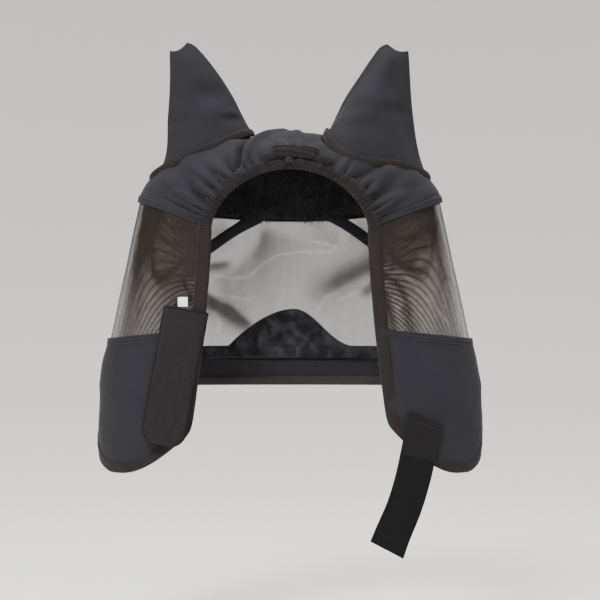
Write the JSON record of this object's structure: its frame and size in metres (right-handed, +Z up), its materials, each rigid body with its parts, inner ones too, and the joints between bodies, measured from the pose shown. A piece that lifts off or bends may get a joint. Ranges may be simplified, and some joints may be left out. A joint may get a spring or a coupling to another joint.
{
  "type": "fly mask",
  "caption": "Horse fly mask with ear covers, see-through mesh over the eyes, padded brow and nose, and a hook and loop closure under the jaw.",
  "frame": {"origin": "where the crown's underside rests on the horse's poll, midway between the ears", "axes": "+Z up along the hanging mask, +Y forwards to the face, the rear opening faces -Y, +X to the right seen from behind"},
  "size_m": [0.422, 0.1519, 0.5469],
  "materials": {
    "crown_cloth": "stretch knit cloth, dark slate grey",
    "cheek_cloth": "stretch knit cloth, navy charcoal",
    "mesh_cloth": "fine open polyester mesh",
    "binding_tape": "woven binding tape, brown grey",
    "elastic": "gathered elastic binding",
    "fleece": "black long pile fleece",
    "nose_neoprene": "smooth padded band",
    "nose_velvet": "short plush pad",
    "loop_pile": "loop side of hook and loop tape",
    "webbing": "flat woven webbing",
    "hook_pile": "hook side of hook and loop tape",
    "label_cloth": "white satin label, blank"
  },
  "bodies": {
    "hood": {"crown_panel": "crown_cloth", "poll_elastic": "elastic", "poll_patch": "binding_tape", "brow_pad": "fleece", "brow_tape_left": "binding_tape", "brow_tape_right": "binding_tape", "front_mesh": "mesh_cloth", "nose_band": "nose_neoprene", "nose_hem": "binding_tape", "nose_pad": "nose_velvet", "ear_collar_left": "binding_tape", "ear_collar_right": "binding_tape"},
    "ear_left": {"ear_back_left": "crown_cloth", "ear_front_left": "crown_cloth"},
    "ear_right": {"ear_back_right": "crown_cloth", "ear_front_right": "crown_cloth"},
    "cheek_left": {"side_mesh_left": "mesh_cloth", "cheek_panel_left": "cheek_cloth", "rear_binding_left": "binding_tape", "cheek_hem_left": "binding_tape", "care_label": "label_cloth", "flap_tab": "loop_pile"},
    "cheek_right": {"side_mesh_right": "mesh_cloth", "cheek_panel_right": "cheek_cloth", "rear_binding_right": "binding_tape", "cheek_hem_right": "binding_tape", "strap_tab": "webbing"},
    "closure_flap": {"flap_backing": "webbing", "flap_loop_face": "loop_pile"},
    "strap_upper": {"strap_webbing_upper": "webbing"},
    "strap_middle": {"strap_webbing_middle": "webbing", "hook_pile_middle": "hook_pile"},
    "strap_lower": {"strap_webbing_lower": "webbing", "hook_pile_lower": "hook_pile"}
  },
  "joints": [
    {"name": "cheek_left_swing", "type": "hinge", "parent": "hood", "child": "cheek_left", "pos_m": [-0.1915, 0.063, -0.227], "axis": [-0.142, 0, -0.9899], "range_deg": [-8, 30], "stiffness_Nm_per_rad": 0.5},
    {"name": "cheek_right_swing", "type": "hinge", "parent": "hood", "child": "cheek_right", "pos_m": [0.1915, 0.063, -0.227], "axis": [-0.142, 0, 0.9899], "range_deg": [-8, 30], "stiffness_Nm_per_rad": 0.5},
    {"name": "ear_left_flex", "type": "hinge", "parent": "hood", "child": "ear_left", "pos_m": [-0.089, 0.055, -0.018], "axis": [0.9108, 0, 0.4129], "range_deg": [-15, 20], "stiffness_Nm_per_rad": 0.4},
    {"name": "ear_right_flex", "type": "hinge", "parent": "hood", "child": "ear_right", "pos_m": [0.089, 0.055, -0.018], "axis": [0.9108, 0, -0.4129], "range_deg": [-15, 20], "stiffness_Nm_per_rad": 0.4},
    {"name": "closure_flap_lift", "type": "hinge", "parent": "cheek_left", "child": "closure_flap", "pos_m": [-0.11171, -0.0032, -0.20122], "axis": [-0.9683, 0.1783, 0.1749], "range_deg": [0, 110]},
    {"name": "strap_lift", "type": "hinge", "parent": "cheek_right", "child": "strap_upper", "pos_m": [0.14226, -0.00319, -0.32122], "axis": [-0.9437, -0.1918, 0.2695], "range_deg": [0, 100]},
    {"name": "strap_bend_upper", "type": "hinge", "parent": "strap_upper", "child": "strap_middle", "pos_m": [0.13233, -0.00568, -0.36194], "axis": [-0.9459, -0.1923, 0.2613], "range_deg": [-40, 60]},
    {"name": "strap_bend_lower", "type": "hinge", "parent": "strap_middle", "child": "strap_lower", "pos_m": [0.12002, -0.00832, -0.40514], "axis": [-0.9235, -0.1878, 0.3346], "range_deg": [-40, 60]}
  ]
}
